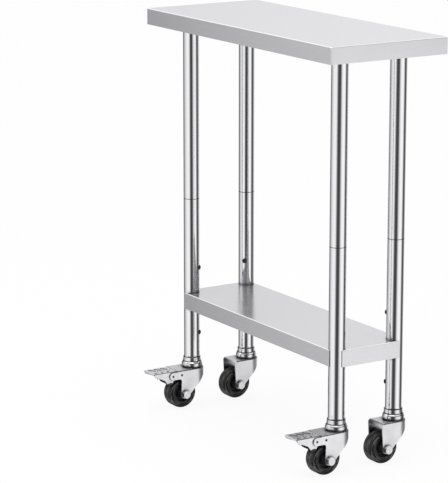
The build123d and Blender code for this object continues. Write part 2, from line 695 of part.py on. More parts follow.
def save_top():
    """The work top with its channels and leg mounts."""
    save("table_top", folded_tray(TOP_LENGTH, TOP_DEPTH, TOP_HEIGHT))
    save("leg_channel_left", leg_channel(-1))
    save("leg_channel_right", leg_channel(1))
    under_top = Pos(0, 0, TOP_HEIGHT - SHEET)
    save("top_stiffener", under_top * hat_channel(TOP_STIFFENER_LENGTH, STIFFENER_WEB))
    mounts = []
    screws = []
    set_screws = []
    for corner in CORNERS:
        inward = leg_place(corner) * facing_inward(corner)
        drill = facing_inward(corner) * radial_hole(SET_SCREW_RADIUS, LEG_TOP - SET_SCREW_DROP)
        mounts.append(leg_place(corner) * (leg_mount() - drill))
        screws += [leg_place(corner) * place * mount_screw() for place in mount_bolt_places()]
        set_screws.append(inward * set_screw())
    save("leg_mounts", *mounts)
    save("leg_mount_screws", *screws)
    save("leg_set_screws", *set_screws)


def save_legs():
    """The leg tubes, their sleeves, rivet nuts and hole plugs."""
    upper = upper_leg()
    lower = lower_leg()
    nuts = []
    plugs = []
    for corner in CORNERS:
        inward = leg_place(corner) * facing_inward(corner)
        save(f"upper_leg_{corner}", inward * upper)
        save(f"lower_leg_{corner}", inward * lower)
        nuts += [on_leg_wall(corner, height) * rivet_nut() for height in rivet_heights()]
        spare = [height for height in rivet_heights() if height != SHELF_BOLT_Z]
        plugs += [on_leg_wall(corner, height) * hole_plug() for height in spare]
    save("leg_joiners", *at_each_leg(leg_joiner()))
    save("rivet_nuts", *nuts)
    save("hole_plugs", *plugs)


def save_shelf():
    """The undershelf with its stiffener, saddles and bolts."""
    save("undershelf", undershelf())
    under_shelf = Pos(0, 0, SHELF_TOP - SHEET)
    save("shelf_stiffener", under_shelf * hat_channel(SHELF_STIFFENER_LENGTH, STIFFENER_WEB))
    saddle = Rot(0, 0, -45) * shelf_bracket()
    save("shelf_brackets", *[leg_place(corner) * facing_inward(corner) * saddle for corner in CORNERS])
    save("shelf_bolts", *[on_leg_wall(corner, SHELF_BOLT_Z) * shelf_bolt() for corner in CORNERS])


def save_casters():
    """The four casters, the front pair with brakes."""
    save("caster_sockets", *at_each_leg(caster_socket()))
    save("raceway_cups", *at_each_leg(raceway_cup()))
    save("swivel_balls", *[leg_place(corner) * ball for corner in CORNERS for ball in swivel_balls()])
    save("kingpins", *at_each_leg(kingpin()))
    core = wheel_core()
    rubber = tyre()
    plain = fork(braked=False)
    with_arms = fork(braked=True)
    for corner in CORNERS:
        place = leg_place(corner)
        save(f"fork_{corner}", place * (with_arms if corner in BRAKED else plain))
        save(f"axle_bolt_{corner}", place * axle_bolt())
        save(f"axle_nut_{corner}", place * axle_nut())
        save(f"axle_bush_{corner}", place * axle_bush())
        save(f"wheel_core_{corner}", place * core)
        save(f"tyre_{corner}", place * rubber)
    pedal = brake_pedal()
    for corner in BRAKED:
        place = leg_place(corner)
        save(f"brake_pedal_{corner}", place * pedal)
        save(f"brake_pad_{corner}", place * brake_pad())
        save(f"pedal_pins_{corner}", *[place * pin for pin in pedal_pins()])
        save(f"brake_spring_{corner}", place * brake_spring())


os.makedirs("parts", exist_ok=True)
save_top()
save_legs()
save_shelf()
save_casters()
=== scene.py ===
import json
import math

import bpy
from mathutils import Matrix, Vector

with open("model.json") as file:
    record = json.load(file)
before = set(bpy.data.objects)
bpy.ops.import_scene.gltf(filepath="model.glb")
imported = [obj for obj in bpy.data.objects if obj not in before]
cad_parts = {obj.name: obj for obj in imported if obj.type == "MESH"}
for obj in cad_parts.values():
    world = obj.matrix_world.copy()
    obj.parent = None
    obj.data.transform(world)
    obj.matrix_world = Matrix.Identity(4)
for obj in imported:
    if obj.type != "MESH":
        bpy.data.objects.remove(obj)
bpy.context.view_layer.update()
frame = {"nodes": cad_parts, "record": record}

# Camera, in metres and degrees
CAMERA_PLACE = (4.5191, -2.9846, 1.6805)
CAMERA_YAW = 57.943
CAMERA_PITCH = 12.749
CAMERA_LENS = 180.574
SENSOR = 36.0
FAR_CLIP = 100.0

# Panels that stand round the studio: degrees from the front towards the cart's right, and brightness
PANELS = [
    (-180, 0.30),
    (-165, 0.60),
    (-135, 0.86),
    (-100, 0.70),
    (-80, 0.12),
    (-72, 0.12),
    (-46, 0.60),
    (-10, 0.92),
    (18, 0.95),
    (46, 0.06),
    (68, 0.06),
    (94, 0.85),
    (104, 1.00),
    (122, 1.00),
    (150, 0.08),
    (170, 0.08),
    (180, 0.30),
]
PANEL_RADIUS = 3.0
PANEL_FOOT = -3.5
PANEL_TOP = 1.7
PANEL_MIDDLE = (PANEL_TOP + PANEL_FOOT) / 2
PANEL_FADE = 1.1
PANEL_COUNT = 96

# A dark flag across the panels on the cart's right: sines of the turn, heights, its share and its grey
FLAG_SIDES = (-0.35, -0.05)
FLAG_FOOT = (0.68, 0.85)
FLAG_TOP = (1.70, 1.55)
FLAG_SHARE = 0.96
FLAG_GREY = 0.02

# The room over the panels: sine of the elevation, and brightness
WALL = 0.88
ROOM = [
    (-1.00, 0.55),
    (0.00, WALL),
    (0.30, WALL),
    (0.42, 1.00),
    (0.68, 1.00),
    (0.76, 0.78),
    (0.90, 0.78),
    (0.97, 0.95),
]
AMBIENT = 0.90

# Soft boxes: place, what they face, side in metres, power in watts
SOFT_BOXES = {
    "overhead": ((0.6, -0.8, 3.2), (0.0, 0.0, 0.9), 3.0, 24.0),
    "front_fill": ((-1.6, -3.4, 1.6), (0.0, 0.0, 0.4), 1.8, 8.0),
}
FLOOR_REACH = 40.0
FLOOR_DROP = 0.0002
FLOOR_WHITE = 0.95
FLOOR_GLOW = 0.90

# Heights of the joints of a leg: the seam of its tubes, its foot, and the groove over the cup
LEG_SEAM = 0.5100
LEG_FOOT = 0.1215
CUP_GROOVE = 0.1110

# Half widths of the dark lines of painted shade and grime at those joints, and the share of each that is
# fully dark
TUBE_SEAMS = {LEG_SEAM: 0.0010, LEG_FOOT: 0.0012}
COLLAR_SEAMS = {LEG_FOOT: 0.0014, CUP_GROOVE: 0.0014}
SEAM_CORE = 0.4

# Depth and height of the spring's pin in a braked fork, and the painted shade round it
SPRING_PIN = (-0.09875, 0.0850)
PIN_SHADE_REACH = 0.0036
PIN_SHADE_CORE = 0.6

# Noise levels between which a pattern goes from none to full
STREAK_RANGE = (0.35, 0.65)
SKIN_RANGE = (0.35, 0.65)
CLOUD_RANGE = (0.40, 0.66)
RING_RANGE = (0.44, 0.57)
RING_LENGTH = 0.6

# Polishing lines: the shares of fine and broad ones, and how many broad ones there are for a fine one
FINE_SHARE = 0.7
BROAD_SHARE = 0.3
BROAD_SCALE = 0.3

# Parts of a face's normal between which a painted mark goes from none to full: the painted highlight on
# bends, the painted dark reflection on side bends and fronts, and the painted shade on upward faces
HIGHLIGHT_BEND_RANGE = (0.98, 0.90)
PAINTED_BEND_FROM_BELOW = (0.15, 0.45)
PAINTED_BEND_FROM_ABOVE = (0.96, 0.88)
PAINTED_BEND_SIDEWAYS = (0.15, 0.40)
FRONT_REFLECTION_FORWARD = (-0.4, -0.8)
UPWARD_SHADE_RANGE = (0.6, 0.95)

# Sideways part of a normal above which a face is at an end of the sheet
END_FACE = 0.7

# Places across a piece, 0 at its left and 1 at its right, between which the painted dark reflection on its
# front goes from none to full
FRONT_REFLECTION_ACROSS = (0.85, 0.25)

# Open sky over a face between which the painted shade in gaps goes from none to full
GAP_RANGE = (0.92, 0.42)
GAP_SAMPLES = 8

# Brushed sheet: greys and roughness off and on its lines, and the strength and depth of its bumps
SHEET_GRAIN = {"Fineness": 900.0, "Length": 0.09}
SHEET_MARKS = 0.24
SHEET_LEVELS = (0.72, 0.77)
SHEET_BLUE = 0.03
# Grey and blue of the painted highlight on the sheet's bends
SHEET_HIGHLIGHT = 0.98
SHEET_HIGHLIGHT_BLUE = 0.01
SHEET_ROUGHNESS = (0.16, 0.21)
SHEET_EDGE_POLISH = 0.06
SHEET_METAL = 0.80
SHEET_BUMP = (0.04, 0.0002)
MARK_DULLING = 0.03

# Polished tube
TUBE_GRAIN = {"Fineness": 900.0, "Length": 0.12}
TUBE_MARKS = 0.10
# Reach of the tube's painted shade near other pieces
TUBE_SHADE_REACH = 0.012
TUBE_LEVELS = (0.89, 0.94)
# Grey of the tube's painted shade in gaps and at its joints, where the joints also hold grime
TUBE_SHADE_AND_GRIME = 0.06
TUBE_ROUGHNESS = (0.08, 0.12)
TUBE_BUMP = (0.02, 0.0001)

# Plating: greys and roughness where clean and where marked, size of the marks, reach of the painted shade in
# gaps
PLATINGS = {
    "caster_chrome": {
        "levels": (0.88, 0.80),
        "roughness": (0.07, 0.12),
        "size": 0.02,
        "reach": 0.008,
        "seams": COLLAR_SEAMS,
    },
    "caster_zinc": {
        "levels": (0.94, 0.88),
        "roughness": (0.34, 0.41),
        "size": 0.03,
        "reach": 0.018,
        "upward_shade": 0.42,
        "front_painted": True,
        "pins": [SPRING_PIN],
    },
    "pedal_zinc": {
        "levels": (0.95, 0.88),
        "roughness": (0.34, 0.41),
        "size": 0.03,
        "reach": 0.006,
        "upward_shade": 0.26,
    },
    "zinc_fasteners": {
        "levels": (0.84, 0.76),
        "roughness": (0.26, 0.34),
        "size": 0.006,
        "reach": 0.014,
    },
    "bearing_steel": {
        "levels": (0.60, 0.50),
        "roughness": (0.18, 0.28),
        "size": 0.01,
        "reach": 0.010,
    },
}
METAL_BLUE = 0.02
PLATING_SKIN = 700.0
PLATING_SKIN_DULLING = 0.03
PLATING_BUMP = (0.04, 0.001)
# Greys of the painted shade on upward faces, of the painted dark reflection on bends and fronts, and of the
# painted shade in gaps, with grime at seams
UPWARD_SHADE_GREY = 0.22
PAINTED_REFLECTION_GREY = 0.10
SHADE_AND_GRIME_GREY = 0.05

# Galvanised sheet
SPANGLE_SIZE = 0.007
SPANGLE_LEVELS = (0.46, 0.64)
SPANGLE_ROUGHNESS = (0.48, 0.34)
SPANGLE_SKIN = 500.0
SPANGLE_BUMP = (0.06, 0.0003)

# Black finishes: greys where clean and where marked, roughness over the skin, its fineness and depth
BLACKS = {
    "black_steel": {
        "levels": (0.020, 0.032),
        "roughness": (0.34, 0.46),
        "fineness": 900.0,
        "depth": 0.0002,
    },
    "black_plastic": {
        "levels": (0.018, 0.030),
        "roughness": (0.36, 0.50),
        "fineness": 800.0,
        "depth": 0.0003,
    },
}
BLACK_MARKS = 0.02
BLACK_SPECULAR = 0.3
BLACK_BUMP = 0.15

# Tread rubber
RUBBER_RINGS = 12.0
RUBBER_SKIN = 1200.0
# Reach of the painted shade in the rubber's gaps
RUBBER_SHADE_REACH = 0.020
# Greys off and on the rings: the lighter rings are a painted sheen
RUBBER_LEVELS = (0.004, 0.115)
# Grey of the painted shade in the rubber's gaps
RUBBER_GAP_SHADE = 0.003
RUBBER_ROUGHNESS = (0.40, 0.60)
RUBBER_SKIN_DULLING = 0.05
RUBBER_SPECULAR = 0.2
RUBBER_BUMP = (0.25, 0.0010)

# Colour sockets of Blender's mix node
MIX_FIRST = 6
MIX_SECOND = 7
MIX_RESULT = 2


def add_node(tree, kind, values=None, **settings):
    """One node with its settings and the values of its unlinked sockets."""
    made = tree.nodes.new(kind)
    for name, value in settings.items():
        setattr(made, name, value)
    for socket, value in (values or {}).items():
        made.inputs[socket].default_value = value
    return made


def feed(tree, socket, value):
    """Links a socket to another, or sets it to a plain value."""
    if isinstance(value, bpy.types.NodeSocket):
        tree.links.new(value, socket)
    else:
        socket.default_value = value


def maths(tree, operation, first, second=0.0):
    """The result of one sum."""
    made = add_node(tree, "ShaderNodeMath", operation=operation)
    feed(tree, made.inputs[0], first)
    feed(tree, made.inputs[1], second)
    return made.outputs[0]


def spread(tree, value, low, high, out_low, out_high):
    """A value carried from one range to another and held inside it."""
    made = add_node(tree, "ShaderNodeMapRange")
    feed(tree, made.inputs["Value"], value)
    feed(tree, made.inputs["From Min"], low)
    feed(tree, made.inputs["From Max"], high)
    feed(tree, made.inputs["To Min"], out_low)
    feed(tree, made.inputs["To Max"], out_high)
    return made.outputs["Result"]


def mask(tree, value, none, full):
    """0 where the value is at one level, 1 where it is at another."""
    return spread(tree, value, none, full, 0.0, 1.0)


def choose(tree, choice, first, second):
    """The first value where the choice is 0, the second where it is 1."""
    kept = maths(tree, "MULTIPLY", first, maths(tree, "SUBTRACT", 1.0, choice))
    return maths(tree, "ADD", kept, maths(tree, "MULTIPLY", second, choice))


def distance(tree, first, second):
    """How far a place is from the middle, from its two parts."""
    square = maths(tree, "MULTIPLY", first, first)
    return maths(tree, "SQRT", maths(tree, "ADD", square, maths(tree, "MULTIPLY", second, second)))


def mix_colours(tree, factor, first, second):
    """The first colour where the factor is 0, the second where it is 1."""
    made = add_node(tree, "ShaderNodeMix", data_type="RGBA")
    feed(tree, made.inputs["Factor"], factor)
    feed(tree, made.inputs[MIX_FIRST], first)
    feed(tree, made.inputs[MIX_SECOND], second)
    return made.outputs[MIX_RESULT]


def mix_shaders(tree, factor, first, second):
    """The first shader where the factor is 0, the second where it is 1."""
    made = add_node(tree, "ShaderNodeMixShader")
    for socket, value in zip(made.inputs, (factor, first, second)):
        tree.links.new(value, socket)
    return made.outputs[0]


def noise(tree, place, scale, detail, fourth=0.0):
    """A noise value at a place, which may have a fourth part."""
    made = add_node(tree, "ShaderNodeTexNoise", {"Detail": detail}, noise_dimensions="4D")
    feed(tree, made.inputs["Vector"], place)
    feed(tree, made.inputs["W"], fourth)
    feed(tree, made.inputs["Scale"], scale)
    return made.outputs[0]


def split(tree, vector):
    """The three parts of a vector."""
    made = add_node(tree, "ShaderNodeSeparateXYZ")
    feed(tree, made.inputs[0], vector)
    return made.outputs


def join(tree, *parts):
    """A vector from its three parts."""
    made = add_node(tree, "ShaderNodeCombineXYZ")
    for socket, part in zip(made.inputs, parts):
        feed(tree, socket, part)
    return made.outputs[0]


def start_group(name, inputs, outputs):
    """An empty shader node group with named sockets."""
    group = bpy.data.node_groups.new(name, "ShaderNodeTree")
    for socket, kind, value in inputs:
        made = group.interface.new_socket(name=socket, in_out="INPUT", socket_type=kind)
        if value is not None:
            made.default_value = value
    for socket in outputs:
        group.interface.new_socket(name=socket, in_out="OUTPUT", socket_type="NodeSocketFloat")
    return group, group.nodes.new("NodeGroupInput").outputs, group.nodes.new("NodeGroupOutput").inputs


def brushed_grain():
    """Polishing lines along the first axis of the place, or the second where Turn is 1."""
    inputs = [
        ("Vector", "NodeSocketVector", None),
        ("Fineness", "NodeSocketFloat", 900.0),
        ("Length", "NodeSocketFloat", 0.1),
        ("Turn", "NodeSocketFloat", 0.0),
    ]
    group, given, wanted = start_group("brushed_grain", inputs, ["Streak", "Height"])
    x, y, z = split(group, given["Vector"])
    along = choose(group, given["Turn"], x, y)
    across = choose(group, given["Turn"], y, x)
    place = join(
        group,
        maths(group, "DIVIDE", along, given["Length"]),
        maths(group, "MULTIPLY", across, given["Fineness"]),
        maths(group, "MULTIPLY", z, given["Fineness"]),
    )
    fine = noise(group, place, scale=1.0, detail=2.0)
    broad = noise(group, place, scale=BROAD_SCALE, detail=2.0)
    fine_part = maths(group, "MULTIPLY", fine, FINE_SHARE)
    broad_part = maths(group, "MULTIPLY", broad, BROAD_SHARE)
    group.links.new(maths(group, "ADD", fine_part, broad_part), wanted["Streak"])
    group.links.new(fine, wanted["Height"])
    return group


def handling_marks():
    """Soft cloudy patches where hands and wiping have dulled the polish."""
    inputs = [("Vector", "NodeSocketVector", None), ("Size", "NodeSocketFloat", 0.1)]
    group, given, wanted = start_group("handling_marks", inputs, ["Mask", "Height"])
    cloud = noise(group, given["Vector"], scale=maths(group, "DIVIDE", 1.0, given["Size"]), detail=4.0)
    group.links.new(mask(group, cloud, *CLOUD_RANGE), wanted["Mask"])
    group.links.new(cloud, wanted["Height"])
    return group


def edge_painted_highlight():
    """Painted highlight: bends and corners brighter than the flat faces beside them."""
    inputs = [("Vector", "NodeSocketVector", None)]
    group, given, wanted = start_group("edge_painted_highlight", inputs, ["Mask"])
    x, y, z = [maths(group, "ABSOLUTE", part) for part in split(group, given["Vector"])]
    largest = maths(group, "MAXIMUM", maths(group, "MAXIMUM", x, y), z)
    group.links.new(mask(group, largest, *HIGHLIGHT_BEND_RANGE), wanted["Mask"])
    return group


def gap_painted_shade():
    """Painted shade: darker where pieces come close together."""
    inputs = [("Reach", "NodeSocketFloat", 0.01)]
    group, given, wanted = start_group("gap_painted_shade", inputs, ["Mask"])
    open_sky = add_node(group, "ShaderNodeAmbientOcclusion", samples=GAP_SAMPLES)
    group.links.new(given["Reach"], open_sky.inputs["Distance"])
    group.links.new(mask(group, open_sky.outputs["AO"], *GAP_RANGE), wanted["Mask"])
    return group


def seam_shade_and_grime():
    """A dark line of painted shade and grime round a piece at one height."""
    inputs = [
        ("Vector", "NodeSocketVector", None),
        ("Height", "NodeSocketFloat", 0.1),
        ("Width", "NodeSocketFloat", 0.001),
    ]
    group, given, wanted = start_group("seam_shade_and_grime", inputs, ["Mask"])
    height = maths(group, "SUBTRACT", split(group, given["Vector"])[2], given["Height"])
    core = maths(group, "MULTIPLY", given["Width"], SEAM_CORE)
    line = mask(group, maths(group, "ABSOLUTE", height), given["Width"], core)
    group.links.new(line, wanted["Mask"])
    return group


def pin_painted_shade():
    """Painted shade: a dark ring round a pin that runs from side to side."""
    inputs = [
        ("Vector", "NodeSocketVector", None),
        ("Depth", "NodeSocketFloat", 0.0),
        ("Height", "NodeSocketFloat", 0.1),
        ("Reach", "NodeSocketFloat", 0.003),
    ]
    group, given, wanted = start_group("pin_painted_shade", inputs, ["Mask"])
    place = split(group, given["Vector"])
    depth = maths(group, "SUBTRACT", place[1], given["Depth"])
    height = maths(group, "SUBTRACT", place[2], given["Height"])
    core = maths(group, "MULTIPLY", given["Reach"], PIN_SHADE_CORE)
    ring = mask(group, distance(group, depth, height), given["Reach"], core)
    group.links.new(ring, wanted["Mask"])
    return group


def bend_painted_reflection():
    """Painted dark reflection on side bends beside an upper face."""
    inputs = [("Vector", "NodeSocketVector", None)]
    group, given, wanted = start_group("bend_painted_reflection", inputs, ["Mask"])
    normal = split(group, given["Vector"])
    lower = mask(group, normal[2], *PAINTED_BEND_FROM_BELOW)
    upper = mask(group, normal[2], *PAINTED_BEND_FROM_ABOVE)
    side = mask(group, maths(group, "ABSOLUTE", normal[0]), *PAINTED_BEND_SIDEWAYS)
    bend = maths(group, "MULTIPLY", lower, upper)
    group.links.new(maths(group, "MULTIPLY", bend, side), wanted["Mask"])
    return group


def front_painted_reflection():
    """Painted dark reflection on the front edges of a piece, fading towards its right."""
    inputs = [("Normal", "NodeSocketVector", None), ("Vector", "NodeSocketVector", None)]
    group, given, wanted = start_group("front_painted_reflection", inputs, ["Mask"])
    forward = mask(group, split(group, given["Normal"])[1], *FRONT_REFLECTION_FORWARD)
    leftward = mask(group, split(group, given["Vector"])[0], *FRONT_REFLECTION_ACROSS)
    group.links.new(maths(group, "MULTIPLY", forward, leftward), wanted["Mask"])
    return group


def moulded_grain():
    """The fine skin of a moulded or plated face."""
    inputs = [("Vector", "NodeSocketVector", None), ("Fineness", "NodeSocketFloat", 900.0)]
    group, given, wanted = start_group("moulded_grain", inputs, ["Mask", "Height"])
    skin = noise(group, given["Vector"], scale=given["Fineness"], detail=3.0)
    group.links.new(mask(group, skin, *SKIN_RANGE), wanted["Mask"])
    group.links.new(skin, wanted["Height"])
    return group


def zinc_spangle():
    """The crystal patches of hot dip galvanising."""
    inputs = [("Vector", "NodeSocketVector", None), ("Size", "NodeSocketFloat", 0.006)]
    group, given, wanted = start_group("zinc_spangle", inputs, ["Patch"])
    cells = add_node(group, "ShaderNodeTexVoronoi", {"Randomness": 1.0})
    group.links.new(given["Vector"], cells.inputs["Vector"])
    group.links.new(maths(group, "DIVIDE", 1.0, given["Size"]), cells.inputs["Scale"])
    patch = add_node(group, "ShaderNodeSeparateColor")
    group.links.new(cells.outputs["Color"], patch.inputs[0])
    group.links.new(patch.outputs[0], wanted["Patch"])
    return group


def rubbed_rings_and_painted_sheen():
    """Rings about the wheel's axle, for rubbed rings in the roughness and a painted sheen in the colour, on
    a place that runs from 0 to 1 over the wheel.
    """
    inputs = [("Vector", "NodeSocketVector", None), ("Rings", "NodeSocketFloat", 10.0)]
    group, given, wanted = start_group("rubbed_rings_and_painted_sheen", inputs, ["Streak", "Height"])
    width, depth, height = split(group, given["Vector"])
    depth = maths(group, "SUBTRACT", depth, 0.5)
    height = maths(group, "SUBTRACT", height, 0.5)
    radius = distance(group, depth, height)
    length = maths(group, "MULTIPLY", radius, RING_LENGTH)
    place = join(
        group,
        maths(group, "MULTIPLY", radius, given["Rings"]),
        maths(group, "DIVIDE", depth, length),
        maths(group, "DIVIDE", height, length),
    )
    across = maths(group, "MULTIPLY", width, given["Rings"])
    ring_noise = noise(group, place, scale=1.0, detail=5.0, fourth=across)
    group.links.new(mask(group, ring_noise, *RING_RANGE), wanted["Streak"])
    group.links.new(ring_noise, wanted["Height"])
    return group


EFFECTS = {
    "grain": brushed_grain(),
    "marks": handling_marks(),
    "edges": edge_painted_highlight(),
    "gap_shade": gap_painted_shade(),
    "seam": seam_shade_and_grime(),
    "pin_shade": pin_painted_shade(),
    "painted_bends": bend_painted_reflection(),
    "front_reflection": front_painted_reflection(),
    "skin": moulded_grain(),
    "spangle": zinc_spangle(),
    "rings": rubbed_rings_and_painted_sheen(),
}


def effect(tree, name, **values):
    """One of the shared effects, placed in a material with its own values."""
    made = add_node(tree, "ShaderNodeGroup", node_tree=EFFECTS[name])
    for socket, value in values.items():
        feed(tree, made.inputs[socket], value)
    return made.outputs


def start_material(name):
    """A material with the sockets of its shader, and the places on the piece."""
    material = bpy.data.materials.new(name)
    material.use_nodes = True
    tree = material.node_tree
    shader = tree.nodes["Principled BSDF"]
    place = add_node(tree, "ShaderNodeTexCoord").outputs
    return material, tree, shader.inputs, place


def start_stage_material(name):
    """A material with no nodes, for a piece of the studio."""
    material = bpy.data.materials.new(name)
    material.use_nodes = True
    material.node_tree.nodes.clear()
    return material, material.node_tree


def raise_surface(tree, socket, height, strength, depth):
    """Feeds a height to the shader's normal."""
    made = add_node(tree, "ShaderNodeBump", {"Strength": strength, "Distance": depth})
    tree.links.new(height, made.inputs["Height"])
    tree.links.new(made.outputs[0], socket)


def dull(tree, roughness, patches, amount):
    """A roughness that is raised by an amount where the patches are."""
    return maths(tree, "ADD", roughness, maths(tree, "MULTIPLY", patches, amount))


def add_seams(tree, shade_and_grime, place, seams):
    """Painted shade and grime, with a dark line of painted shade and grime at each seam."""
    for height, width in seams.items():
        line = effect(tree, "seam", Vector=place, Height=height, Width=width)
        shade_and_grime = maths(tree, "MAXIMUM", shade_and_grime, line["Mask"])
    return shade_and_grime


def grey(level, blue=0.0):
    """A neutral colour, or one with a share of blue."""
    return (level, level * (1 - blue / 6), level * (1 + blue), 1.0)


def greys(levels, blue=0.0):
    """A neutral colour for each level."""
    return [grey(level, blue) for level in levels]


def brushed_stainless():
    """Satin sheet, brushed along each face's longer side, with a painted highlight on its bends."""
    material, tree, shader, place = start_material("brushed_stainless")
    sideways = maths(tree, "ABSOLUTE", split(tree, place["Normal"])[0])
    turn = maths(tree, "GREATER_THAN", sideways, END_FACE)
    grain = effect(tree, "grain", Vector=place["Object"], Turn=turn, **SHEET_GRAIN)
    marks = effect(tree, "marks", Vector=place["Object"], Size=SHEET_MARKS)
    edges = effect(tree, "edges", Vector=place["Normal"])
    streak = mask(tree, grain["Streak"], *STREAK_RANGE)
    sheet = mix_colours(tree, streak, *greys(SHEET_LEVELS, SHEET_BLUE))
    bright = grey(SHEET_HIGHLIGHT, SHEET_HIGHLIGHT_BLUE)
    # The bends get a painted highlight
    tree.links.new(mix_colours(tree, edges["Mask"], sheet, bright), shader["Base Color"])
    satin = spread(tree, grain["Streak"], *STREAK_RANGE, *SHEET_ROUGHNESS)
    wear_and_painted_reflection = dull(tree, satin, marks["Mask"], MARK_DULLING)
    tree.links.new(dull(tree, wear_and_painted_reflection, edges["Mask"], -SHEET_EDGE_POLISH), shader["Roughness"])
    shader["Metallic"].default_value = SHEET_METAL
    raise_surface(tree, shader["Normal"], grain["Height"], *SHEET_BUMP)
    return material


def polished_tube():
    """Mirror polished tube with faint lines along its length, painted shade where pieces come close, and
    dark lines of painted shade and grime at its joints.
    """
    material, tree, shader, place = start_material("polished_tube")
    x, y, z = split(tree, place["Object"])
    grain = effect(tree, "grain", Vector=join(tree, z, x, y), **TUBE_GRAIN)
    marks = effect(tree, "marks", Vector=place["Object"], Size=TUBE_MARKS)
    gap_shade = effect(tree, "gap_shade", Reach=TUBE_SHADE_REACH)
    shade_and_grime = add_seams(tree, gap_shade["Mask"], place["Object"], TUBE_SEAMS)
    streak = mask(tree, grain["Streak"], *STREAK_RANGE)
    tube = mix_colours(tree, streak, *greys(TUBE_LEVELS, METAL_BLUE))
    # Painted shade in gaps, and painted shade and grime at the joints
    tree.links.new(mix_colours(tree, shade_and_grime, tube, grey(TUBE_SHADE_AND_GRIME)), shader["Base Color"])
    polish = spread(tree, grain["Streak"], *STREAK_RANGE, *TUBE_ROUGHNESS)
    tree.links.new(dull(tree, polish, marks["Mask"], MARK_DULLING), shader["Roughness"])
    shader["Metallic"].default_value = 1.0
    raise_surface(tree, shader["Normal"], grain["Height"], *TUBE_BUMP)
    return material


def paint_shade_and_reflections(tree, plating, place, upward_shade, front_painted):
    """Plating with painted shade on its upward faces, and a painted dark reflection on its side bends and,
    where asked, its front faces.
    """
    upward = split(tree, place["Normal"])[2]
    # Upward faces get painted shade
    upward_shade_mask = spread(tree, upward, *UPWARD_SHADE_RANGE, 0.0, upward_shade)
    plating = mix_colours(tree, upward_shade_mask, plating, grey(UPWARD_SHADE_GREY, METAL_BLUE))
    # Side bends, and front faces where asked, get a painted dark reflection
    wear_and_painted_reflection = effect(tree, "painted_bends", Vector=place["Normal"])["Mask"]
    if front_painted:
        front_reflection = effect(tree, "front_reflection", Normal=place["Normal"], Vector=place["Generated"])
        wear_and_painted_reflection = maths(tree, "MAXIMUM", wear_and_painted_reflection, front_reflection["Mask"])
    return mix_colours(tree, wear_and_painted_reflection, plating, grey(PAINTED_REFLECTION_GREY, METAL_BLUE))


def plated(name, levels, roughness, size, reach, upward_shade=0.0, front_painted=False, seams=None, pins=()):
    """Bright plating on steel, with painted shade in its gaps and round its pins, painted shade and grime at
    its seams, and painted shade on its upward faces.
    """
    material, tree, shader, place = start_material(name)
    marks = effect(tree, "marks", Vector=place["Object"], Size=size)
    skin = effect(tree, "skin", Vector=place["Object"], Fineness=PLATING_SKIN)
    gap_shade = effect(tree, "gap_shade", Reach=reach)
    shade_and_grime = add_seams(tree, gap_shade["Mask"], place["Object"], seams or {})
    for depth, height in pins:
        # Painted shade round each pin
        ring = effect(tree, "pin_shade", Vector=place["Object"], Depth=depth, Height=height, Reach=PIN_SHADE_REACH)
        shade_and_grime = maths(tree, "MAXIMUM", shade_and_grime, ring["Mask"])
    plating = mix_colours(tree, marks["Mask"], *greys(levels, METAL_BLUE))
    if upward_shade:
        plating = paint_shade_and_reflections(tree, plating, place, upward_shade, front_painted)
    # Painted shade in gaps and round pins, with painted shade and grime at seams
    tree.links.new(mix_colours(tree, shade_and_grime, plating, grey(SHADE_AND_GRIME_GREY)), shader["Base Color"])
    polish = spread(tree, marks["Mask"], 0.0, 1.0, *roughness)
    tree.links.new(dull(tree, polish, skin["Mask"], PLATING_SKIN_DULLING), shader["Roughness"])
    shader["Metallic"].default_value = 1.0
    raise_surface(tree, shader["Normal"], marks["Height"], *PLATING_BUMP)
    return material


def galvanised_steel():
    """Dull zinc with its crystal patches."""
    material, tree, shader, place = start_material("galvanised_steel")
    spangle = effect(tree, "spangle", Vector=place["Object"], Size=SPANGLE_SIZE)
    skin = effect(tree, "skin", Vector=place["Object"], Fineness=SPANGLE_SKIN)
    zinc = mix_colours(tree, spangle["Patch"], *greys(SPANGLE_LEVELS, METAL_BLUE))
    tree.links.new(zinc, shader["Base Color"])
    tree.links.new(spread(tree, spangle["Patch"], 0.0, 1.0, *SPANGLE_ROUGHNESS), shader["Roughness"])
    shader["Metallic"].default_value = 1.0
    raise_surface(tree, shader["Normal"], skin["Height"], *SPANGLE_BUMP)
    return material


def dark_skin(name, levels, roughness, fineness, depth):
    """Black plastic or blackened steel with a fine skin."""
    material, tree, shader, place = start_material(name)
    skin = effect(tree, "skin", Vector=place["Object"], Fineness=fineness)
    marks = effect(tree, "marks", Vector=place["Object"], Size=BLACK_MARKS)
    tree.links.new(mix_colours(tree, marks["Mask"], *greys(levels)), shader["Base Color"])
    tree.links.new(spread(tree, skin["Mask"], 0.0, 1.0, *roughness), shader["Roughness"])
    shader["Specular IOR Level"].default_value = BLACK_SPECULAR
    raise_surface(tree, shader["Normal"], skin["Height"], BLACK_BUMP, depth)
    return material


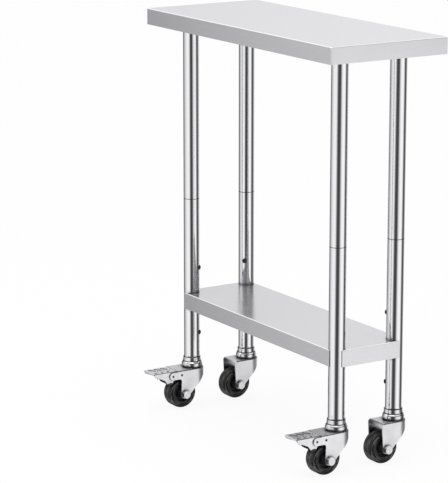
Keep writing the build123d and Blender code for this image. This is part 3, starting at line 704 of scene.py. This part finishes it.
def black_rubber():
    """Solid tread rubber, rubbed duller in rings that are also lighter as a painted sheen, with painted
    shade in its gaps.
    """
    material, tree, shader, place = start_material("black_rubber")
    rings = effect(tree, "rings", Vector=place["Generated"], Rings=RUBBER_RINGS)
    skin = effect(tree, "skin", Vector=place["Object"], Fineness=RUBBER_SKIN)
    gap_shade = effect(tree, "gap_shade", Reach=RUBBER_SHADE_REACH)
    # Lighter rings are a painted sheen
    rubber = mix_colours(tree, rings["Streak"], *greys(RUBBER_LEVELS))
    # Painted shade in the rubber's gaps
    tree.links.new(mix_colours(tree, gap_shade["Mask"], rubber, grey(RUBBER_GAP_SHADE)), shader["Base Color"])
    gloss = spread(tree, rings["Streak"], 0.0, 1.0, *RUBBER_ROUGHNESS)
    tree.links.new(dull(tree, gloss, skin["Mask"], RUBBER_SKIN_DULLING), shader["Roughness"])
    shader["Specular IOR Level"].default_value = RUBBER_SPECULAR
    raise_surface(tree, shader["Normal"], rings["Height"], *RUBBER_BUMP)
    return material


def dress_nodes():
    """Gives every node the finish of its slot."""
    finishes = {
        "brushed_stainless": brushed_stainless(),
        "polished_tube": polished_tube(),
        "galvanised_steel": galvanised_steel(),
        "black_rubber": black_rubber(),
    }
    for name, values in PLATINGS.items():
        finishes[name] = plated(name, **values)
    for name, values in BLACKS.items():
        finishes[name] = dark_skin(name, **values)
    for part in frame["record"]["subparts"]:
        data = frame["nodes"][part["node"]].data
        data.materials.clear()
        data.materials.append(finishes[part["material_slot"]])


def lay_floor():
    """A wide white floor that keeps the cart's shadow, and is clear from below to show the underside."""
    bpy.ops.mesh.primitive_plane_add(size=FLOOR_REACH, location=(0, 0, -FLOOR_DROP))
    floor = bpy.context.object
    floor.name = "floor"
    floor.visible_glossy = False
    material, tree = start_stage_material("floor_paper")
    paper = add_node(tree, "ShaderNodeBsdfDiffuse", {"Color": grey(FLOOR_WHITE)}).outputs[0]
    glow = add_node(tree, "ShaderNodeEmission", {"Color": grey(1.0), "Strength": 1.0}).outputs[0]
    clear = add_node(tree, "ShaderNodeBsdfTransparent").outputs[0]
    seen = add_node(tree, "ShaderNodeLightPath").outputs["Is Camera Ray"]
    below = add_node(tree, "ShaderNodeNewGeometry").outputs["Backfacing"]
    white = mix_shaders(tree, maths(tree, "MULTIPLY", seen, FLOOR_GLOW), paper, glow)
    surface = add_node(tree, "ShaderNodeOutputMaterial").inputs["Surface"]
    tree.links.new(mix_shaders(tree, below, white, clear), surface)
    floor.data.materials.append(material)


def shade(tree, value, stops, low, high):
    """A grey that follows a value through a list of stops."""
    ramp = add_node(tree, "ShaderNodeValToRGB")
    ramp.color_ramp.interpolation = "EASE"
    tree.links.new(mask(tree, value, low, high), ramp.inputs[0])
    elements = ramp.color_ramp.elements
    while len(elements) < len(stops):
        elements.new(0.5)
    for element, (place, level) in zip(elements, stops):
        element.position = (place - stops[0][0]) / (stops[-1][0] - stops[0][0])
        element.color = grey(level)
    return ramp.outputs[0]


def stand_panels():
    """Tall panels round the cart that show only in its gloss."""
    bpy.ops.mesh.primitive_cylinder_add(
        vertices=PANEL_COUNT,
        radius=PANEL_RADIUS,
        depth=PANEL_TOP - PANEL_FOOT,
        end_fill_type="NOTHING",
        location=(0, 0, PANEL_MIDDLE),
    )
    panels = bpy.context.object
    panels.name = "panels"
    panels.visible_camera = False
    panels.visible_diffuse = False
    panels.visible_shadow = False
    material, tree = start_stage_material("panels")
    x, y, z = split(tree, add_node(tree, "ShaderNodeTexCoord").outputs["Object"])
    turn = maths(tree, "ARCTAN2", x, maths(tree, "MULTIPLY", y, -1.0))
    height = maths(tree, "ADD", z, PANEL_MIDDLE)
    level = shade(tree, turn, PANELS, -math.pi, math.pi)
    level = mix_colours(tree, mask(tree, height, PANEL_FADE, PANEL_TOP), level, grey(WALL))
    side = spread(tree, maths(tree, "DIVIDE", x, PANEL_RADIUS), *FLAG_SIDES, 0.0, FLAG_SHARE)
    band = maths(tree, "MULTIPLY", mask(tree, height, *FLAG_FOOT), mask(tree, height, *FLAG_TOP))
    level = mix_colours(tree, maths(tree, "MULTIPLY", side, band), level, grey(FLAG_GREY))
    glow = add_node(tree, "ShaderNodeEmission", {"Strength": 1.0})
    tree.links.new(level, glow.inputs["Color"])
    surface = add_node(tree, "ShaderNodeOutputMaterial").inputs["Surface"]
    tree.links.new(glow.outputs[0], surface)
    panels.data.materials.append(material)


def hang_soft_box(name, place, aim, side, power):
    """A square soft light turned to a point."""
    data = bpy.data.lights.new(name, "AREA")
    data.size = side
    data.energy = power
    lamp = bpy.data.objects.new(name, data)
    bpy.context.scene.collection.objects.link(lamp)
    lamp.location = place
    direction = Vector(aim) - Vector(place)
    lamp.rotation_euler = direction.to_track_quat("-Z", "Y").to_euler()


def light_studio():
    """White surround for the camera, the room for gloss, a plain level for the rest, and the soft boxes."""
    world = bpy.data.worlds.new("studio")
    bpy.context.scene.world = world
    world.use_nodes = True
    tree = world.node_tree
    tree.nodes.clear()
    path = add_node(tree, "ShaderNodeLightPath").outputs
    gloss = maths(tree, "MAXIMUM", path["Is Glossy Ray"], path["Is Transmission Ray"])
    plain = add_node(tree, "ShaderNodeBackground", {"Color": grey(1.0), "Strength": AMBIENT}).outputs[0]
    white = add_node(tree, "ShaderNodeBackground", {"Color": grey(1.0), "Strength": 1.0}).outputs[0]
    height = split(tree, add_node(tree, "ShaderNodeTexCoord").outputs["Generated"])[2]
    room = add_node(tree, "ShaderNodeBackground", {"Strength": 1.0})
    tree.links.new(shade(tree, height, ROOM, ROOM[0][0], ROOM[-1][0]), room.inputs["Color"])
    shine = mix_shaders(tree, gloss, plain, room.outputs[0])
    surface = add_node(tree, "ShaderNodeOutputWorld").inputs["Surface"]
    tree.links.new(mix_shaders(tree, path["Is Camera Ray"], shine, white), surface)
    for name, (place, aim, side, power) in SOFT_BOXES.items():
        hang_soft_box(name, place, aim, side, power)


def set_camera():
    """A plain camera that comes close to the photograph's view."""
    data = bpy.data.cameras.new("camera")
    data.lens = CAMERA_LENS
    data.sensor_width = SENSOR
    data.clip_end = FAR_CLIP
    camera = bpy.data.objects.new("camera", data)
    bpy.context.scene.collection.objects.link(camera)
    camera.location = CAMERA_PLACE
    camera.rotation_euler = (math.radians(90 - CAMERA_PITCH), 0.0, math.radians(CAMERA_YAW))
    bpy.context.scene.camera = camera


bpy.context.scene.view_settings.view_transform = "Standard"
dress_nodes()
lay_floor()
stand_panels()
light_studio()
set_camera()
